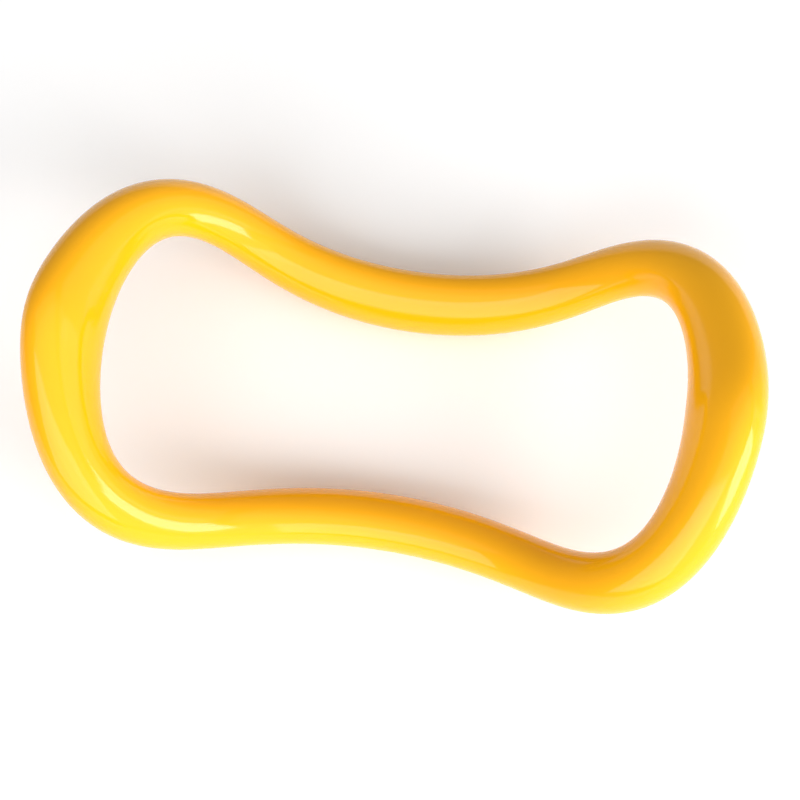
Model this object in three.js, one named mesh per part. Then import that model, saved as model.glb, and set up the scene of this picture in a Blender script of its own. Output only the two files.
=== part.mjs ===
// Closed hand ring for stretching and balance play: a hollow plastic tube bent into an
// hourglass loop, with both rounded ends lifted above the waist like a shallow saddle.
// Two moulded half shells meet where the tube is widest seen from above. A tongue in the
// upper shell's rims drops into a groove in the lower shell's rims, and a weld bead closes
// the seam on the outside of the loop and another closes it on the side of the hole.
//
// Frame, millimetres: X along the ring, Y across it, Z up. The ring rests on the two flats
// under its waist at Z = 0, and X = Y = 0 is the middle of the hole.
import * as THREE from 'three';

// Overall sizes
const RING_LENGTH = 235; // over both ends
const FLARE_WIDTH = 125.5; // over the two sides where the loop is widest
const WAIST_WIDTH = 100; // over the two sides at the waist
const END_RISE = 55; // height of the tube's middle at the ends above its middle at the waist

// Course of the tube's middle line between the end and the waist, one place after another
const SHOULDER_SETBACK = 2; // along the ring, behind the middle line's far end
const CORNER_SETBACK = 15.5;
const FLARE_SETBACK = 38;
const FLANK_SETBACK = 63;
const SHOULDER_WIDTH = 42.5; // across the ring, between the middle line's two shoulders at one end
const CORNER_TUCK = 5; // across the ring, inside the middle line's widest place
const FLANK_BLEND = 0.44; // the flank's line, from the waist's (0) to the flare's (1)

// Oval tube, short and long axis at four places from the end to the waist
const END_THICK = 20.5;
const END_DEEP = 31.5;
const CORNER_THICK = 21.5;
const CORNER_DEEP = 22.5;
const FLARE_THICK = 18.8;
const FLARE_DEEP = 19;
const WAIST_THICK = 19;
const WAIST_DEEP = 23.5;
const LEAN = THREE.MathUtils.degToRad(30); // the long axis tips outward from upright

// Half shells and their joint
const WALL = 3.5; // even wall of both shells
const JOINT_GAP = 0.3; // clearance between any two pieces that face each other
const TONGUE_WIDTH = 0.9;
const TONGUE_HEIGHT = 1.2;
const BEAD_WIDTH = 0.8; // into the wall
const BEAD_HEIGHT = 1; // along the wall
const SHELL_COLOR = 0xf4b41e;
const BEAD_COLOR = 0xefae1c;
const SHELL_ROUGHNESS = 0.22;
const BEAD_ROUGHNESS = 0.35;

// Fineness of the facets
const STATIONS = 72; // cross-sections round the loop, a multiple of four
const OUTER_STEPS = 6; // facets of the outer wall on each side of its top or bottom flat
const INNER_STEPS = 8; // facets of the inner wall
const FLAT_HALF_ANGLE = THREE.MathUtils.degToRad(8); // half the flat, as an angle round the oval
const SLOPE_STEP = 1e-4; // radians, for the direction of the middle line

/** Half of a leaning oval's size, seen from above. */
function halfAcross(thick, deep) {
  return Math.hypot(thick * Math.cos(LEAN), deep * Math.sin(LEAN)) / 2;
}

/** Smooth curve through evenly spaced values from the end to the waist, level at both. */
function evenCurve(values) {
  const last = values.length - 1;
  const half = (i) => (i === 0 || i === last ? 0.5 : 1);
  const waves = values.map((_, k) => {
    const sum = values.reduce((s, v, j) => s + half(j) * v * Math.cos((Math.PI * j * k) / last), 0);
    return (half(k) * 2 * sum) / last;
  });
  return (t) => waves.reduce((s, a, k) => s + a * Math.cos(2 * k * t), 0);
}

/** Smooth curve through evenly spaced values, level at the first and nought a step past the last. */
function oddCurve(values) {
  const count = values.length;
  const waves = values.map((_, k) => {
    const turn = (Math.PI * (k + 0.5)) / count;
    const sum = values.reduce((s, v, j) => s + (j === 0 ? 0.5 : 1) * v * Math.cos(turn * j), 0);
    return (2 * sum) / count;
  });
  return (t) => waves.reduce((s, a, k) => s + a * Math.cos((2 * k + 1) * t), 0);
}

const reach = RING_LENGTH / 2 - halfAcross(END_THICK, END_DEEP);
const spread = FLARE_WIDTH / 2 - halfAcross(FLARE_THICK, FLARE_DEEP);
const waistSpread = WAIST_WIDTH / 2 - halfAcross(WAIST_THICK, WAIST_DEEP);
const along = oddCurve([
  reach,
  reach - SHOULDER_SETBACK,
  reach - CORNER_SETBACK,
  reach - FLARE_SETBACK,
  reach - FLANK_SETBACK,
]);
const across = oddCurve([
  waistSpread,
  THREE.MathUtils.lerp(waistSpread, spread, FLANK_BLEND),
  spread,
  spread - CORNER_TUCK,
  SHOULDER_WIDTH / 2,
]);
const thick = evenCurve([END_THICK, CORNER_THICK, FLARE_THICK, WAIST_THICK]);
const deep = evenCurve([END_DEEP, CORNER_DEEP, FLARE_DEEP, WAIST_DEEP]);

/** Point on the tube's middle line; t turns once round the loop, starting at the +X end. */
function middle(t) {
  return new THREE.Vector3(along(t), across(Math.PI / 2 - t), END_RISE * Math.cos(t) ** 2);
}

/** Cross-section plane at t: its middle, its level axis out of the loop, and its upward axis. */
function section(t) {
  const origin = middle(t);
  const run = middle(t + SLOPE_STEP).sub(middle(t - SLOPE_STEP)).normalize();
  const up = new THREE.Vector3(0, 0, 1).addScaledVector(run, -run.z).normalize();
  const out = run.clone().cross(up);
  return { origin, out, up, a: thick(t) / 2, b: deep(t) / 2 };
}

/** Point [out, up] at an angle round the leaning oval, sunk below the surface. */
function onOval({ a, b }, angle, sunk) {
  const normal = new THREE.Vector2(Math.cos(angle) / a, Math.sin(angle) / b).normalize();
  const x = a * Math.cos(angle) - sunk * normal.x;
  const y = b * Math.sin(angle) - sunk * normal.y;
  return [x * Math.cos(LEAN) + y * Math.sin(LEAN), y * Math.cos(LEAN) - x * Math.sin(LEAN)];
}

/** Angle round the oval of its outermost point, where the two shells part. */
function partingAngle({ a, b }) {
  return Math.atan2(b * Math.sin(LEAN), a * Math.cos(LEAN));
}

/** Angle round the oval of its highest point. */
function crownAngle({ a, b }) {
  return Math.atan2(b * Math.cos(LEAN), -a * Math.sin(LEAN));
}

/** Even steps from one angle to another, both ends included. */
function steps(from, to, count) {
  return Array.from({ length: count + 1 }, (_, i) => from + ((to - from) * i) / count);
}

// Rim of one wall, as [depth into the wall, height above the parting line].
const SEAM_HALF = JOINT_GAP / 2;
const REBATE_DEPTH = BEAD_WIDTH + JOINT_GAP;
const REBATE_HALF = BEAD_HEIGHT / 2 + JOINT_GAP;
const TONGUE_MIDDLE = (REBATE_DEPTH + WALL) / 2;
const GROOVE_WIDTH = TONGUE_WIDTH + 2 * JOINT_GAP;

/** Upper shell's rim from the outer wall to the inner one, with its tongue pointing down. */
function upperRim() {
  const foot = SEAM_HALF - TONGUE_HEIGHT;
  return [
    [0, REBATE_HALF],
    [REBATE_DEPTH, REBATE_HALF],
    [REBATE_DEPTH, SEAM_HALF],
    [TONGUE_MIDDLE - TONGUE_WIDTH / 2, SEAM_HALF],
    [TONGUE_MIDDLE - TONGUE_WIDTH / 2, foot],
    [TONGUE_MIDDLE + TONGUE_WIDTH / 2, foot],
    [TONGUE_MIDDLE + TONGUE_WIDTH / 2, SEAM_HALF],
    [WALL, SEAM_HALF],
  ];
}

/** Lower shell's rim from the outer wall to the inner one, with its groove open upward. */
function lowerRim() {
  const floor = SEAM_HALF - TONGUE_HEIGHT - JOINT_GAP;
  return [
    [0, -REBATE_HALF],
    [REBATE_DEPTH, -REBATE_HALF],
    [REBATE_DEPTH, -SEAM_HALF],
    [TONGUE_MIDDLE - GROOVE_WIDTH / 2, -SEAM_HALF],
    [TONGUE_MIDDLE - GROOVE_WIDTH / 2, floor],
    [TONGUE_MIDDLE + GROOVE_WIDTH / 2, floor],
    [TONGUE_MIDDLE + GROOVE_WIDTH / 2, -SEAM_HALF],
    [WALL, -SEAM_HALF],
  ];
}

/** Rim points in a cross-section; side is +1 on the outside of the loop, -1 at the hole. */
function placeRim(rim, oval, side) {
  const [out, up] = onOval(oval, partingAngle(oval), 0);
  return rim.map(([depth, height]) => [side * (out - depth), side * up + height]);
}

/** Outline of one shell in a cross-section: outer wall, hole-side rim, inner wall, outer rim. */
function shellOutline(oval, upper) {
  const turn = upper ? 1 : -1;
  const rim = upper ? upperRim() : lowerRim();
  const start = partingAngle(oval);
  const crown = upper ? crownAngle(oval) : crownAngle(oval) - Math.PI;
  const finish = start + turn * Math.PI;
  const walls = [
    ...steps(start, crown - turn * FLAT_HALF_ANGLE, OUTER_STEPS).slice(1),
    ...steps(crown + turn * FLAT_HALF_ANGLE, finish, OUTER_STEPS).slice(0, -1),
  ];
  const hollow = steps(finish, start, INNER_STEPS).slice(1, -1);
  const outline = [
    ...walls.map((angle) => onOval(oval, angle, 0)),
    ...placeRim(rim, oval, -1),
    ...hollow.map((angle) => onOval(oval, angle, WALL)),
    ...placeRim(rim, oval, 1).reverse(),
  ];
  return upper ? outline : outline.reverse();
}

/** Outline of a weld bead in a cross-section, flush with the outer wall. */
function beadOutline(oval, side) {
  const half = BEAD_HEIGHT / 2;
  const corners = [[0, -half], [0, half], [BEAD_WIDTH, half], [BEAD_WIDTH, -half]];
  const outline = placeRim(corners, oval, side);
  return side > 0 ? outline : outline.reverse();
}

/** Closed body that carries an outline, anticlockwise in [out, up], once round the loop. */
function sweep(outlineAt) {
  const points = [];
  for (let i = 0; i < STATIONS; i += 1) {
    const plane = section(((i + 0.5) * 2 * Math.PI) / STATIONS);
    for (const [out, up] of outlineAt(plane)) {
      const point = plane.origin.clone().addScaledVector(plane.out, out).addScaledVector(plane.up, up);
      points.push(point.x, point.y, point.z);
    }
  }
  const count = points.length / 3 / STATIONS;
  const index = [];
  for (let i = 0; i < STATIONS; i += 1) {
    const here = i * count;
    const next = ((i + 1) % STATIONS) * count;
    for (let j = 0; j < count; j += 1) {
      const k = (j + 1) % count;
      index.push(here + j, next + j, next + k, here + j, next + k, here + k);
    }
  }
  const geometry = new THREE.BufferGeometry();
  geometry.setAttribute('position', new THREE.Float32BufferAttribute(points, 3));
  geometry.setIndex(index);
  geometry.computeVertexNormals();
  return geometry;
}

/** Named mesh with its own plastic. */
function piece(name, geometry, color, roughness) {
  const mesh = new THREE.Mesh(geometry, new THREE.MeshStandardMaterial({ color, roughness, metalness: 0 }));
  mesh.name = name;
  return mesh;
}

const pieces = [
  piece('upper_shell', sweep((oval) => shellOutline(oval, true)), SHELL_COLOR, SHELL_ROUGHNESS),
  piece('lower_shell', sweep((oval) => shellOutline(oval, false)), SHELL_COLOR, SHELL_ROUGHNESS),
  piece('outer_weld_bead', sweep((oval) => beadOutline(oval, 1)), BEAD_COLOR, BEAD_ROUGHNESS),
  piece('inner_weld_bead', sweep((oval) => beadOutline(oval, -1)), BEAD_COLOR, BEAD_ROUGHNESS),
];

const ring = new THREE.Group();
ring.name = 'stretch_ring';
ring.add(...pieces);

const lowest = new THREE.Box3().setFromObject(ring).min.z;
for (const mesh of pieces) {
  mesh.geometry.translate(0, 0, -lowest);
}

export default ring;
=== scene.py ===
"""Hourglass hand ring in glossy plastic: fine shells, seam beads, plastic, studio and camera.

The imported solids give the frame. Each of them is replaced by a smooth piece of the same
sizes: two hollow half shells that part where the tube is widest seen from above, and the
two polished beads that close the seam. All lengths are in metres unless a name says other.
"""

import logging
import math
from dataclasses import dataclass
from enum import Enum
from functools import cached_property
from typing import Callable, Sequence
import bmesh
import bpy
from mathutils import Matrix, Vector


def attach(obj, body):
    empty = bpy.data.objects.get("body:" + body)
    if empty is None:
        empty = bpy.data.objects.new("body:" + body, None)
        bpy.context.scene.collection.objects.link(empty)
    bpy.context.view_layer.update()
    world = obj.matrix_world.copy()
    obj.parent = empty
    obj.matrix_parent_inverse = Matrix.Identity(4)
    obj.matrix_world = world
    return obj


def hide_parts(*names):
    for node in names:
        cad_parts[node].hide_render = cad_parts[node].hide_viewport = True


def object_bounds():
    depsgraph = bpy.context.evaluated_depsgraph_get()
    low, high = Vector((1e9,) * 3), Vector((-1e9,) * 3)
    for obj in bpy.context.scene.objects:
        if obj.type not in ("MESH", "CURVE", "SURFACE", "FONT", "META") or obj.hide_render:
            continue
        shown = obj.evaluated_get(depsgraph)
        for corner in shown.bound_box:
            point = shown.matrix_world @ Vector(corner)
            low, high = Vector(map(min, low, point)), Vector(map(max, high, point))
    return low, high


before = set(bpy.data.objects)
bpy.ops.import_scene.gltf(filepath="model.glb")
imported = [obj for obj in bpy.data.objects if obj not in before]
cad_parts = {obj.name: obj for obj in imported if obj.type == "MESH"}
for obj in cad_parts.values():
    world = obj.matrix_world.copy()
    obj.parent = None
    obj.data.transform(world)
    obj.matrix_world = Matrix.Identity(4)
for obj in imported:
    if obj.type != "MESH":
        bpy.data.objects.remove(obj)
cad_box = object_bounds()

LOG = logging.getLogger("hand_ring")
MM = 0.001
BODY = "root"
WELD_DISTANCE = 1e-7
SLOPE_STEP = 1e-4
SPOT_LAYER = "spot"
SEAM_LAYER = "seam_distance"
NUMBER_SOCKET = "NodeSocketFloat"
MIX_FIRST = 6
MIX_SECOND = 7
MIX_RESULT = 2
PLASTIC_IOR = 1.5
SPECULAR_LEVEL = 0.38
YELLOW = (0.975, 0.45, 0.006)
DEEP_YELLOW = (0.96, 0.43, 0.005)
BEAD_YELLOW = (0.955, 0.425, 0.005)

Curve = Callable[[float], float]
Outline = list[tuple[float, float]]


class Half(Enum):
    """The two moulded halves of the tube."""

    UPPER = 1
    LOWER = -1


class Edge(Enum):
    """The two lines where the halves meet."""

    OUTSIDE = 1
    HOLE = -1


def even_curve(values: Sequence[float]) -> Curve:
    """Makes a smooth curve that is level at the end and at the waist.

    Args:
        values: what it passes through, at even steps from the end to the waist.

    Returns:
        The curve, as a function of the turn round the loop in radians.
    """
    last = len(values) - 1
    half = [0.5 if i in (0, last) else 1.0 for i in range(last + 1)]
    waves = []
    for k in range(last + 1):
        total = sum(half[j] * value * math.cos(math.pi * j * k / last) for j, value in enumerate(values))
        waves.append(half[k] * 2 * total / last)
    return lambda turn: sum(wave * math.cos(2 * k * turn) for k, wave in enumerate(waves))


def odd_curve(values: Sequence[float]) -> Curve:
    """Makes a smooth curve that is level at its first value and nought a step past its last.

    Args:
        values: what it passes through, at even steps.

    Returns:
        The curve, as a function of the turn round the loop in radians.
    """
    count = len(values)
    waves = []
    for k in range(count):
        step = math.pi * (k + 0.5) / count
        total = sum((0.5 if j == 0 else 1.0) * value * math.cos(step * j) for j, value in enumerate(values))
        waves.append(2 * total / count)
    return lambda turn: sum(wave * math.cos((2 * k + 1) * turn) for k, wave in enumerate(waves))


def even_steps(first: float, last: float, count: int) -> list[float]:
    """Gives count + 1 even steps from first to last, both included."""
    return [first + (last - first) * i / count for i in range(count + 1)]


@dataclass(frozen=True)
class Oval:
    """Leaning oval of the tube at one place.

    Args:
        thick: its short axis.
        deep: its long axis, which tips outward from upright.
    """

    thick: float
    deep: float

    def half_across(self, lean: float) -> float:
        """Half of its size seen from above."""
        return math.hypot(self.thick * math.cos(lean), self.deep * math.sin(lean)) / 2

    def half_upright(self, lean: float) -> float:
        """Half of its height."""
        return math.hypot(self.thick * math.sin(lean), self.deep * math.cos(lean)) / 2


@dataclass(frozen=True)
class CutPlane:
    """One cross-section of the tube, in its level outward axis and its upward axis.

    Args:
        origin: the tube's middle.
        out: level axis that points away from the hole.
        up: axis across the tube that points up.
        half_thick: half of the oval's short axis.
        half_deep: half of its long axis.
        lean: how far the long axis tips outward from upright.
    """

    origin: Vector
    out: Vector
    up: Vector
    half_thick: float
    half_deep: float
    lean: float

    def skin(self, angle: float, sunk: float = 0.0) -> tuple[float, float]:
        """Finds a point of the tube's wall.

        Args:
            angle: angle round the oval.
            sunk: depth below the outer skin.

        Returns:
            Its place as outward and upward distances from the middle.
        """
        normal = Vector((math.cos(angle) / self.half_thick, math.sin(angle) / self.half_deep)).normalized()
        x = self.half_thick * math.cos(angle) - sunk * normal.x
        y = self.half_deep * math.sin(angle) - sunk * normal.y
        cos_lean = math.cos(self.lean)
        sin_lean = math.sin(self.lean)
        return x * cos_lean + y * sin_lean, y * cos_lean - x * sin_lean

    def parting_angle(self) -> float:
        """Angle round the oval of its outermost point, where the halves part."""
        return math.atan2(self.half_deep * math.sin(self.lean), self.half_thick * math.cos(self.lean))

    def place(self, spot: tuple[float, float]) -> Vector:
        """Place in the row frame of a point given as outward and upward distances."""
        return self.origin + self.out * spot[0] + self.up * spot[1]


@dataclass(frozen=True)
class Course:
    """The tube's middle line and its ovals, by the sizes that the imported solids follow.

    Args:
        ring_length: overall length.
        flare_width: overall width at the wide ends.
        waist_width: overall width at the narrow middle.
        end_rise: how far the ends stand above the waist.
        shoulder_setback: the shoulder's distance behind the end, along the ring.
        corner_setback: the corner's distance behind the end.
        flare_setback: the widest place's distance behind the end.
        flank_setback: the flank's distance behind the end.
        shoulder_width: width of the middle line at the shoulders.
        corner_tuck: how far the corner lies inside the widest place.
        flank_blend: where the flank lies between the waist's width and the widest.
        end: oval at the end.
        corner: oval at the corner.
        flare: oval at the flare.
        waist: oval at the waist.
        lean: how far the ovals tip outward from upright.
    """

    ring_length: float = 235 * MM
    flare_width: float = 125.5 * MM
    waist_width: float = 100 * MM
    end_rise: float = 55 * MM
    shoulder_setback: float = 2 * MM
    corner_setback: float = 15.5 * MM
    flare_setback: float = 38 * MM
    flank_setback: float = 63 * MM
    shoulder_width: float = 42.5 * MM
    corner_tuck: float = 5 * MM
    flank_blend: float = 0.44
    end: Oval = Oval(20.5 * MM, 31.5 * MM)
    corner: Oval = Oval(21.5 * MM, 22.5 * MM)
    flare: Oval = Oval(18.8 * MM, 19 * MM)
    waist: Oval = Oval(19 * MM, 23.5 * MM)
    lean: float = math.radians(30)

    def curves(self) -> tuple[Curve, Curve, Curve, Curve]:
        """Works out the curves that the sweep follows.

        Returns:
            The distance along the ring, the distance across it counted from the waist, and
            the oval's short and long axes.
        """
        reach = self.ring_length / 2 - self.end.half_across(self.lean)
        spread = self.flare_width / 2 - self.flare.half_across(self.lean)
        waist = self.waist_width / 2 - self.waist.half_across(self.lean)
        setbacks = (0.0, self.shoulder_setback, self.corner_setback, self.flare_setback, self.flank_setback)
        flank = waist + self.flank_blend * (spread - waist)
        along = odd_curve([reach - setback for setback in setbacks])
        across = odd_curve([waist, flank, spread, spread - self.corner_tuck, self.shoulder_width / 2])
        ovals = (self.end, self.corner, self.flare, self.waist)
        return along, across, even_curve([o.thick for o in ovals]), even_curve([o.deep for o in ovals])

    def planes(self, count: int) -> list[CutPlane]:
        """Cuts the tube at even turns round the loop.

        Args:
            count: number of cuts.

        Returns:
            The cross-sections in order, the first one at the +X end.
        """
        along, across, thick, deep = self.curves()
        base = self.waist.half_upright(self.lean)

        def middle(turn: float) -> Vector:
            """Point of the middle line."""
            height = base + self.end_rise * math.cos(turn) ** 2
            return Vector((along(turn), across(math.pi / 2 - turn), height))

        cuts = []
        for i in range(count):
            turn = 2 * math.pi * i / count
            run = (middle(turn + SLOPE_STEP) - middle(turn - SLOPE_STEP)).normalized()
            up = (Vector((0, 0, 1)) - run * run.z).normalized()
            cuts.append(
                CutPlane(middle(turn), run.cross(up), up, thick(turn) / 2, deep(turn) / 2, self.lean)
            )
        return cuts


@dataclass(frozen=True)
class Joint:
    """Tongue, groove and bead of the seam, measured into the wall and along it.

    Args:
        wall: thickness of the shells.
        seam_gap: gap between the shells' rims.
        hairline: gap round the bead.
        tongue_width: thickness of the tongue.
        tongue_height: how far it stands out.
        tongue_play: room beside the tongue and past its tip.
        bead_width: depth of the bead into the wall.
        bead_height: height of the bead.
    """

    wall: float = 3.5 * MM
    seam_gap: float = 0.3 * MM
    hairline: float = 0.015 * MM
    tongue_width: float = 0.9 * MM
    tongue_height: float = 1.2 * MM
    tongue_play: float = 0.3 * MM
    bead_width: float = 0.8 * MM
    bead_height: float = 1 * MM

    def rim(self, half: Half) -> Outline:
        """Draws a shell's rim from the outer skin to the inner one.

        Args:
            half: the shell it belongs to; the upper one has the tongue, the lower the groove.

        Returns:
            Points as depth into the wall and height above the parting line.
        """
        sign = half.value
        rebate_depth = self.bead_width + self.hairline
        rebate_top = sign * (self.bead_height / 2 + self.hairline)
        land = sign * self.seam_gap / 2
        middle = (rebate_depth + self.wall) / 2
        if half is Half.UPPER:
            reach = self.tongue_width / 2
            tip = land - self.tongue_height
        else:
            reach = self.tongue_width / 2 + self.tongue_play
            tip = land - self.tongue_height + self.seam_gap - self.tongue_play
        return [
            (0.0, rebate_top),
            (rebate_depth, rebate_top),
            (rebate_depth, land),
            (middle - reach, land),
            (middle - reach, tip),
            (middle + reach, tip),
            (middle + reach, land),
            (self.wall, land),
        ]

    def bead(self) -> Outline:
        """Draws the bead's four corners, as depth and height."""
        half = self.bead_height / 2
        return [(0.0, -half), (0.0, half), (self.bead_width, half), (self.bead_width, -half)]


def place_rim(cut: CutPlane, rim: Outline, edge: Edge) -> Outline:
    """Puts rim points on a cross-section at one of the two parting points.

    Args:
        cut: the cross-section.
        rim: points as depth into the wall and height above the parting line.
        edge: which parting point.

    Returns:
        The points as outward and upward distances from the middle.
    """
    out, up = cut.skin(cut.parting_angle())
    return [(edge.value * (out - depth), edge.value * up + height) for depth, height in rim]


class Sweep:
    """Carries a closed outline once round the loop and closes it on itself."""

    def __init__(self, cuts: Sequence[CutPlane], outline_at: Callable[[CutPlane], Outline]) -> None:
        """Keeps what the sweep needs.

        Args:
            cuts: the cross-sections in order.
            outline_at: gives the outline on a cross-section, always with as many points.
        """
        self.cuts = cuts
        self.outline_at = outline_at

    def mesh(self, name: str, sharp: float) -> bpy.types.Mesh:
        """Builds the swept body.

        Args:
            name: name of the mesh.
            sharp: edges that turn by more than this angle stay crisp.

        Returns:
            The closed mesh, smooth shaded, with its distance to the seam as an attribute.
        """
        bm = bmesh.new()
        spot = bm.verts.layers.int.new(SPOT_LAYER)
        seam = bm.verts.layers.float.new(SEAM_LAYER)
        count = len(self.outline_at(self.cuts[0]))
        ring = bmesh.ops.create_circle(bm, segments=count, radius=MM)["verts"]
        for number, vert in enumerate(ring):
            vert[spot] = number
        edges = list(bm.edges)
        self._lay(ring, self.cuts[0], spot, seam)
        for cut in [*self.cuts[1:], self.cuts[0]]:
            grown = bmesh.ops.extrude_edge_only(bm, edges=edges)["geom"]
            edges = [part for part in grown if isinstance(part, bmesh.types.BMEdge)]
            self._lay([part for part in grown if isinstance(part, bmesh.types.BMVert)], cut, spot, seam)
        bmesh.ops.remove_doubles(bm, verts=bm.verts, dist=WELD_DISTANCE)
        bmesh.ops.recalc_face_normals(bm, faces=bm.faces)
        for face in bm.faces:
            face.smooth = True
        for edge in bm.edges:
            edge.smooth = edge.calc_face_angle(0.0) < sharp
        mesh = bpy.data.meshes.new(name)
        bm.to_mesh(mesh)
        bm.free()
        return mesh

    def _lay(
        self,
        verts: Sequence[bmesh.types.BMVert],
        cut: CutPlane,
        spot: bmesh.types.BMLayerItem,
        seam: bmesh.types.BMLayerItem,
    ) -> None:
        """Moves a ring of vertices to its places on a cross-section.

        Args:
            verts: the ring's vertices, each with its number on the outline.
            cut: the cross-section.
            spot: layer of those numbers.
            seam: layer that takes the distance to the nearer parting point.
        """
        outline = self.outline_at(cut)
        partings = [Vector(place_rim(cut, [(0.0, 0.0)], edge)[0]) for edge in Edge]
        for vert in verts:
            point = outline[vert[spot]]
            vert.co = cut.place(point)
            vert[seam] = min((Vector(point) - parting).length for parting in partings)


def link(mesh: bpy.types.Mesh, material: bpy.types.Material) -> bpy.types.Object:
    """Puts a finished mesh in the scene with its material.

    Args:
        mesh: the mesh, whose name the object takes.
        material: its finish.

    Returns:
        The new object, at the origin.
    """
    mesh.materials.append(material)
    piece = bpy.data.objects.new(mesh.name, mesh)
    bpy.context.scene.collection.objects.link(piece)
    return piece


class NodeBoard:
    """Short way to put nodes on a node tree and wire them."""

    def __init__(self, tree: bpy.types.NodeTree) -> None:
        """Keeps the tree that the nodes go on."""
        self.tree = tree

    def add(self, kind: str, settings: dict[str, object] | None = None, **inputs: object) -> bpy.types.Node:
        """Adds one node.

        Args:
            kind: the node's type name, without ShaderNode.
            settings: properties of the node itself.
            inputs: values or sockets for its inputs, named with _ for a space.

        Returns:
            The new node.
        """
        node = self.tree.nodes.new("ShaderNode" + kind)
        for name, value in (settings or {}).items():
            setattr(node, name, value)
        for name, value in inputs.items():
            self.wire(value, node.inputs[name.replace("_", " ")])
        return node

    def wire(self, value: object, socket: bpy.types.NodeSocket) -> None:
        """Links a socket to an input, or sets the input's own value."""
        if isinstance(value, bpy.types.NodeSocket):
            self.tree.links.new(value, socket)
        else:
            socket.default_value = value

    def math(self, operation: str, first: object, second: object = 0.0) -> bpy.types.NodeSocket:
        """Adds a Math node and gives its result."""
        node = self.add("Math", {"operation": operation})
        self.wire(first, node.inputs[0])
        self.wire(second, node.inputs[1])
        return node.outputs[0]

    def spot(self) -> bpy.types.NodeSocket:
        """Gives the place on the piece that is shaded."""
        return self.add("TexCoord").outputs["Object"]

    def noise(
        self, place: bpy.types.NodeSocket, scale: float, detail: float, grain: float = 0.5
    ) -> bpy.types.NodeSocket:
        """Adds a noise texture.

        Args:
            place: socket of the place to look up.
            scale: waves per metre.
            detail: octaves of finer noise.
            grain: how strong the finer octaves are.

        Returns:
            The noise, from 0 to 1.
        """
        return self.add("TexNoise", Vector=place, Scale=scale, Detail=detail, Roughness=grain).outputs["Fac"]

    def rise(self, value: object, low: float, high: float) -> bpy.types.NodeSocket:
        """Adds a smooth step that goes from 0 at one value to 1 at another.

        Args:
            value: socket of the value.
            low: where the step starts.
            high: where it ends.

        Returns:
            The step's result.
        """
        node = self.add("MapRange", {"interpolation_type": "SMOOTHSTEP"}, Value=value)
        self.wire(low, node.inputs["From Min"])
        self.wire(high, node.inputs["From Max"])
        return node.outputs["Result"]


@dataclass(frozen=True)
class SkinPattern:
    """How a moulding's skin varies, with noise scales in waves per metre.

    Args:
        drift_scale: scale of the slow drift of tint.
        drift_detail: its detail.
        drift_grain: its roughness.
        drift_low: noise at which the deeper tint starts.
        drift_high: noise at which it is full.
        gloss_scale: scale of the uneven gloss.
        gloss_detail: its detail.
        gloss_grain: its roughness.
        gloss_low: noise at which the skin starts to dull.
        gloss_high: noise at which it is dullest.
        peel_scale: scale of the orange peel.
        peel_detail: its detail.
        peel_grain: its roughness.
    """

    drift_scale: float = 14.0
    drift_detail: float = 3.0
    drift_grain: float = 0.5
    drift_low: float = 0.3
    drift_high: float = 0.7
    gloss_scale: float = 60.0
    gloss_detail: float = 5.0
    gloss_grain: float = 0.6
    gloss_low: float = 0.35
    gloss_high: float = 0.7
    peel_scale: float = 420.0
    peel_detail: float = 2.0
    peel_grain: float = 0.4


@dataclass(frozen=True)
class SeamPattern:
    """How the polished band beside the seam fades out.

    Args:
        ragged_scale: noise scale of its ragged border, in waves per metre.
        ragged_detail: detail of that noise.
        least_reach: share of the width that the band keeps where the noise is nought.
        fade_start: share of the reach at which the band starts to fade.
    """

    ragged_scale: float = 900.0
    ragged_detail: float = 2.0
    least_reach: float = 0.5
    fade_start: float = 0.4


@dataclass(frozen=True)
class WearPattern:
    """How handling scuffs a skin.

    Args:
        hair_scale: noise scale of the hairlines, in waves per metre.
        hair_detail: detail of that noise.
        hair_turn: turn of the hairlines, in radians.
        hair_stretch: squeeze of the noise that draws it out into lines.
        hair_low: noise at which a hairline starts.
        hair_high: noise at which it is full.
        patch_scale: noise scale of the scuffed patches.
        patch_detail: detail of that noise.
        patch_low: noise above which a patch is scuffed.
    """

    hair_scale: float = 900.0
    hair_detail: float = 3.0
    hair_turn: tuple[float, float, float] = (0.3, 0.5, 0.9)
    hair_stretch: tuple[float, float, float] = (1.0, 0.06, 0.35)
    hair_low: float = 0.66
    hair_high: float = 0.74
    patch_scale: float = 35.0
    patch_detail: float = 2.0
    patch_low: float = 0.45


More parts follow.
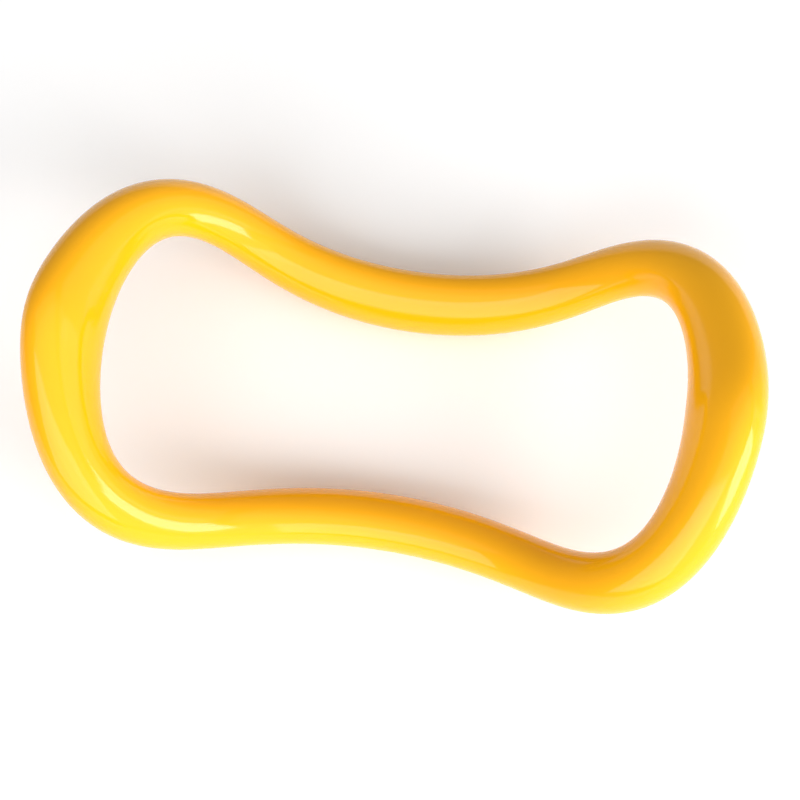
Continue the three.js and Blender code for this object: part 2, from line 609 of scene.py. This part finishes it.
class GroupMaker:
    """Builds the shader groups that the finishes share, each of them once."""

    def __init__(self) -> None:
        """Takes the patterns that the groups draw."""
        self.skin = SkinPattern()
        self.seam = SeamPattern()
        self.wear = WearPattern()

    def start(
        self, name: str, inputs: dict[str, float], outputs: Sequence[str]
    ) -> tuple[NodeBoard, bpy.types.Node, bpy.types.Node]:
        """Opens a new group with its sockets.

        Args:
            name: name of the group.
            inputs: its number inputs and their first values.
            outputs: its number outputs.

        Returns:
            The board to put nodes on, the node of the inputs and the node of the outputs.
        """
        tree = bpy.data.node_groups.new(name, "ShaderNodeTree")
        for label, value in inputs.items():
            socket = tree.interface.new_socket(label, in_out="INPUT", socket_type=NUMBER_SOCKET)
            socket.default_value = value
        for label in outputs:
            tree.interface.new_socket(label, in_out="OUTPUT", socket_type=NUMBER_SOCKET)
        return NodeBoard(tree), tree.nodes.new("NodeGroupInput"), tree.nodes.new("NodeGroupOutput")

    @cached_property
    def moulded_skin(self) -> bpy.types.NodeTree:
        """Skin of a moulding: slow tint drift, uneven gloss and a faint orange peel.

        Returns:
            The group, with a tint mask, a gloss mask and a height.
        """
        skin = self.skin
        board, _, result = self.start("moulded_skin", {}, ("Tint", "Gloss", "Height"))
        drift = board.noise(board.spot(), skin.drift_scale, skin.drift_detail, skin.drift_grain)
        gloss = board.noise(board.spot(), skin.gloss_scale, skin.gloss_detail, skin.gloss_grain)
        peel = board.noise(board.spot(), skin.peel_scale, skin.peel_detail, skin.peel_grain)
        board.wire(board.rise(drift, skin.drift_low, skin.drift_high), result.inputs["Tint"])
        board.wire(board.rise(gloss, skin.gloss_low, skin.gloss_high), result.inputs["Gloss"])
        board.wire(peel, result.inputs["Height"])
        return board.tree

    @cached_property
    def seam_band(self) -> bpy.types.NodeTree:
        """Narrow band beside the seam, where the weld was polished.

        Returns:
            The group, with a mask that is 1 at the seam.
        """
        board, given, result = self.start("seam_band", {"Width": MM}, ("Mask",))
        distance = board.add("Attribute", {"attribute_name": SEAM_LAYER}).outputs["Fac"]
        ragged = board.noise(board.spot(), self.seam.ragged_scale, self.seam.ragged_detail)
        share = board.math("ADD", ragged, self.seam.least_reach)
        reach = board.math("MULTIPLY", given.outputs["Width"], share)
        away = board.rise(board.math("DIVIDE", distance, reach), self.seam.fade_start, 1.0)
        board.wire(board.math("SUBTRACT", 1.0, away), result.inputs["Mask"])
        return board.tree

    @cached_property
    def handling_wear(self) -> bpy.types.NodeTree:
        """Hairline scuffs of a ring that is handled and laid down.

        Returns:
            The group, with a mask of fine scratches in patches.
        """
        wear = self.wear
        board, _, result = self.start("handling_wear", {}, ("Mask",))
        drawn = board.add("Mapping", Vector=board.spot(), Rotation=wear.hair_turn, Scale=wear.hair_stretch)
        lines = board.noise(drawn.outputs["Vector"], wear.hair_scale, wear.hair_detail)
        patches = board.noise(board.spot(), wear.patch_scale, wear.patch_detail)
        hair = board.rise(lines, wear.hair_low, wear.hair_high)
        patch = board.math("GREATER_THAN", patches, wear.patch_low)
        board.wire(board.math("MULTIPLY", hair, patch), result.inputs["Mask"])
        return board.tree

    def place(self, board: NodeBoard, group: bpy.types.NodeTree, **inputs: float) -> bpy.types.Node:
        """Puts a group in a material.

        Args:
            board: the material's board.
            group: the group to place.
            inputs: values for its inputs, named with _ for a space.

        Returns:
            The group's node.
        """
        return board.add("Group", {"node_tree": group}, **inputs)


@dataclass(frozen=True)
class GlossPlastic:
    """Dyed moulding plastic with a mould-polished skin.

    Args:
        slot: the record's material slot.
        color: linear colour of most of the skin.
        deep_color: linear colour where the dye lies thicker.
        roughness: roughness of the cleanest skin.
        roughness_spread: how much rougher the skin gets in places.
        peel: height of the orange peel.
        seam_width: width of the polished band beside the seam.
        wear: how strongly scuffs dull the skin.
    """

    slot: str
    color: tuple[float, float, float]
    deep_color: tuple[float, float, float]
    roughness: float
    roughness_spread: float
    peel: float
    seam_width: float
    wear: float

    def material(self, groups: GroupMaker) -> bpy.types.Material:
        """Builds the finish.

        Args:
            groups: the shared shader groups.

        Returns:
            The material, named after its slot.
        """
        material = bpy.data.materials.new(self.slot)
        material.use_nodes = True
        material.node_tree.nodes.clear()
        board = NodeBoard(material.node_tree)
        skin = groups.place(board, groups.moulded_skin)
        seam = groups.place(board, groups.seam_band, Width=self.seam_width)
        wear = groups.place(board, groups.handling_wear)
        tint = board.math("MAXIMUM", skin.outputs["Tint"], seam.outputs["Mask"])
        color = board.add("Mix", {"data_type": "RGBA"}, Factor=tint)
        board.wire((*self.color, 1.0), color.inputs[MIX_FIRST])
        board.wire((*self.deep_color, 1.0), color.inputs[MIX_SECOND])
        uneven = board.math("MULTIPLY", skin.outputs["Gloss"], self.roughness_spread)
        scuffed = board.math("MULTIPLY", wear.outputs["Mask"], self.wear)
        banded = board.math("MULTIPLY", seam.outputs["Mask"], self.roughness_spread)
        rough = board.math("ADD", uneven, board.math("MAXIMUM", scuffed, banded))
        bump = board.add("Bump", Strength=1.0, Distance=self.peel, Height=skin.outputs["Height"])
        shader = board.add(
            "BsdfPrincipled",
            Base_Color=color.outputs[MIX_RESULT],
            Roughness=board.math("ADD", rough, self.roughness),
            IOR=PLASTIC_IOR,
            Specular_IOR_Level=SPECULAR_LEVEL,
            Normal=bump.outputs["Normal"],
        )
        board.add("OutputMaterial", Surface=shader.outputs["BSDF"])
        return material


@dataclass(frozen=True)
class HandRing:
    """The whole ring: two shells and two beads on one course.

    Args:
        course: the tube's middle line and ovals.
        joint: the seam between the shells.
        stations: cross-sections round the loop.
        skin_steps: steps of the outer skin across one shell.
        hollow_steps: steps of the inner skin across one shell.
        crisp: edges that turn by more than this angle stay crisp.
    """

    course: Course = Course()
    joint: Joint = Joint()
    stations: int = 288
    skin_steps: int = 40
    hollow_steps: int = 24
    crisp: float = math.radians(35)

    def shell_outline(self, cut: CutPlane, half: Half) -> Outline:
        """Draws one shell's wall on a cross-section.

        Args:
            cut: the cross-section.
            half: which shell.

        Returns:
            The closed outline: outer skin, hole-side rim, inner skin, outside rim.
        """
        rim = self.joint.rim(half)
        start = cut.parting_angle()
        finish = start + half.value * math.pi
        skin = even_steps(start, finish, self.skin_steps)[1:-1]
        hollow = even_steps(finish, start, self.hollow_steps)[1:-1]
        return [
            *(cut.skin(angle) for angle in skin),
            *place_rim(cut, rim, Edge.HOLE),
            *(cut.skin(angle, self.joint.wall) for angle in hollow),
            *reversed(place_rim(cut, rim, Edge.OUTSIDE)),
        ]

    def build_shell(self, half: Half, finish: GlossPlastic, groups: GroupMaker) -> bpy.types.Object:
        """Builds one half shell.

        Args:
            half: which shell.
            finish: its plastic.
            groups: the shared shader groups.

        Returns:
            The finished piece.
        """
        sweep = Sweep(self.course.planes(self.stations), lambda cut: self.shell_outline(cut, half))
        return link(sweep.mesh(f"{half.name.lower()}_half_shell", self.crisp), finish.material(groups))

    def build_bead(self, edge: Edge, finish: GlossPlastic, groups: GroupMaker) -> bpy.types.Object:
        """Builds one seam bead.

        Args:
            edge: which line it closes.
            finish: its plastic.
            groups: the shared shader groups.

        Returns:
            The finished piece.
        """
        corners = self.joint.bead()
        sweep = Sweep(self.course.planes(self.stations), lambda cut: place_rim(cut, corners, edge))
        return link(sweep.mesh(f"{edge.name.lower()}_seam_bead", self.crisp), finish.material(groups))


@dataclass(frozen=True)
class SoftBox:
    """Studio softbox that faces the ring.

    Args:
        name: name of the light.
        azimuth: degrees round the ring, from +X towards +Y.
        elevation: degrees above the floor.
        width: level size of its cloth.
        height: other size of its cloth.
        power: watts.
        distance: from the ring's middle.
    """

    name: str
    azimuth: float
    elevation: float
    width: float
    height: float
    power: float
    distance: float = 2.2

    def build(self, target: Vector) -> bpy.types.Object:
        """Hangs the softbox.

        Args:
            target: the point it faces.

        Returns:
            The light.
        """
        light = bpy.data.lights.new(self.name, "AREA")
        light.shape = "RECTANGLE"
        light.size = self.width
        light.size_y = self.height
        light.energy = self.power
        lamp = bpy.data.objects.new(self.name, light)
        bpy.context.scene.collection.objects.link(lamp)
        away = direction(self.azimuth, self.elevation)
        lamp.location = target + away * self.distance
        lamp.rotation_euler = (-away).to_track_quat("-Z", "Y").to_euler()
        return lamp


def direction(azimuth: float, elevation: float) -> Vector:
    """Unit vector at an azimuth and an elevation in degrees."""
    level = math.cos(math.radians(elevation))
    turn = math.radians(azimuth)
    return Vector((level * math.cos(turn), level * math.sin(turn), math.sin(math.radians(elevation))))


@dataclass(frozen=True)
class Studio:
    """Pale floor, plain surround and softboxes.

    Args:
        floor_size: side of the square floor.
        floor_color: its linear colour.
        floor_roughness: how matt it is.
        surround: brightness of what lies round the studio.
        boxes: the softboxes.
    """

    floor_size: float = 12.0
    floor_color: tuple[float, float, float] = (0.96, 0.96, 0.96)
    floor_roughness: float = 0.9
    surround: float = 0.3
    boxes: tuple[SoftBox, ...] = (
        SoftBox("key_softbox", azimuth=-26, elevation=21, width=1.05, height=1.4, power=31.0),
        SoftBox("key_spread_softbox", azimuth=-18, elevation=19, width=2.2, height=1.8, power=10.0),
        SoftBox("front_softbox", azimuth=-102, elevation=34, width=2.3, height=2.1, power=33.0),
        SoftBox("between_softbox", azimuth=-60, elevation=26, width=1.5, height=2.2, power=7.0),
        SoftBox("right_fill_softbox", azimuth=28, elevation=23, width=2.0, height=2.0, power=6.0),
        SoftBox("upper_softbox", azimuth=-50, elevation=52, width=5.2, height=4.4, power=24.0, distance=2.4),
        SoftBox(
            "overhead_softbox", azimuth=-60, elevation=84, width=3.0, height=3.0, power=10.0, distance=2.4
        ),
    )

    def build(self, target: Vector) -> None:
        """Builds the floor, the surround and the lights.

        Args:
            target: the point that the softboxes face.
        """
        self.build_floor()
        world = bpy.data.worlds.new("studio")
        world.use_nodes = True
        background = world.node_tree.nodes["Background"]
        background.inputs["Color"].default_value = (1.0, 1.0, 1.0, 1.0)
        background.inputs["Strength"].default_value = self.surround
        scene = bpy.context.scene
        scene.world = world
        scene.view_settings.view_transform = "Standard"
        for box in self.boxes:
            box.build(target)

    def build_floor(self) -> None:
        """Lays the floor level with the ring's lowest point."""
        bm = bmesh.new()
        bmesh.ops.create_grid(bm, x_segments=1, y_segments=1, size=self.floor_size / 2)
        mesh = bpy.data.meshes.new("floor")
        bm.to_mesh(mesh)
        bm.free()
        material = bpy.data.materials.new("floor_paper")
        material.use_nodes = True
        shader = material.node_tree.nodes["Principled BSDF"]
        shader.inputs["Base Color"].default_value = (*self.floor_color, 1.0)
        shader.inputs["Roughness"].default_value = self.floor_roughness
        shader.inputs["Specular IOR Level"].default_value = 0.0
        link(mesh, material)


@dataclass(frozen=True)
class Viewpoint:
    """Camera above the ring, tipped towards its near side.

    Args:
        azimuth: degrees round the ring where the camera stands.
        elevation: degrees above the floor.
        distance: from the aimed point.
        aim_along: aimed point's place along the ring, from its middle.
        aim_across: aimed point's place across the ring.
        roll: degrees that the camera is turned about its own view line.
        lens: focal length in millimetres.
        sensor: width of the sensor in millimetres.
        nearest: closest distance that the camera shows.
    """

    azimuth: float = -68.77
    elevation: float = 74.22
    distance: float = 529.6 * MM
    aim_along: float = 2.57 * MM
    aim_across: float = -4.01 * MM
    roll: float = -12.66
    lens: float = 72.15
    sensor: float = 36.0
    nearest: float = 10 * MM

    def build(self, middle: Vector) -> bpy.types.Object:
        """Sets up the camera.

        Args:
            middle: middle of the ring's box.

        Returns:
            The camera, made the scene's own.
        """
        camera = bpy.data.cameras.new("camera")
        camera.lens = self.lens
        camera.sensor_width = self.sensor
        camera.clip_start = self.nearest
        rig = bpy.data.objects.new("camera", camera)
        bpy.context.scene.collection.objects.link(rig)
        away = direction(self.azimuth, self.elevation)
        aim = middle + Vector((self.aim_along, self.aim_across, 0.0))
        turn = (-away).to_track_quat("-Z", "Y").to_matrix().to_4x4()
        tilt = Matrix.Rotation(math.radians(self.roll), 4, "Z")
        rig.matrix_world = Matrix.Translation(aim + away * self.distance) @ turn @ tilt
        bpy.context.scene.camera = rig
        return rig


def shell_plastic(slot: str) -> GlossPlastic:
    """Gives the glossy yellow of the shells for one material slot."""
    return GlossPlastic(
        slot,
        color=YELLOW,
        deep_color=DEEP_YELLOW,
        roughness=0.095,
        roughness_spread=0.03,
        peel=0.004 * MM,
        seam_width=1.2 * MM,
        wear=0.1,
    )


def bead_plastic(slot: str) -> GlossPlastic:
    """Gives the slightly duller yellow of the beads for one material slot."""
    return GlossPlastic(
        slot,
        color=YELLOW,
        deep_color=BEAD_YELLOW,
        roughness=0.08,
        roughness_spread=0.05,
        peel=0.006 * MM,
        seam_width=0.4 * MM,
        wear=0.1,
    )


def fit_piece(piece: bpy.types.Object, node: str) -> None:
    """Puts a piece on the ring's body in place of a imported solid.

    Args:
        piece: the finished piece.
        node: the solid it stands for, whose name is also its material slot.
    """
    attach(piece, BODY)
    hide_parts(node)
    LOG.info("%s stands for %s: %d faces", piece.name, node, len(piece.data.polygons))


def main() -> None:
    """Builds the ring, its studio and the camera."""
    logging.basicConfig(level=logging.INFO, format="%(name)s: %(message)s")
    groups = GroupMaker()
    ring = HandRing()
    fit_piece(ring.build_shell(Half.UPPER, shell_plastic("upper_shell"), groups), "upper_shell")
    fit_piece(ring.build_shell(Half.LOWER, shell_plastic("lower_shell"), groups), "lower_shell")
    fit_piece(ring.build_bead(Edge.OUTSIDE, bead_plastic("outer_weld_bead"), groups), "outer_weld_bead")
    fit_piece(ring.build_bead(Edge.HOLE, bead_plastic("inner_weld_bead"), groups), "inner_weld_bead")
    middle = (Vector(cad_box[0]) + Vector(cad_box[1])) / 2
    Studio().build(middle)
    Viewpoint().build(middle)


if __name__ == "__main__":
    main()
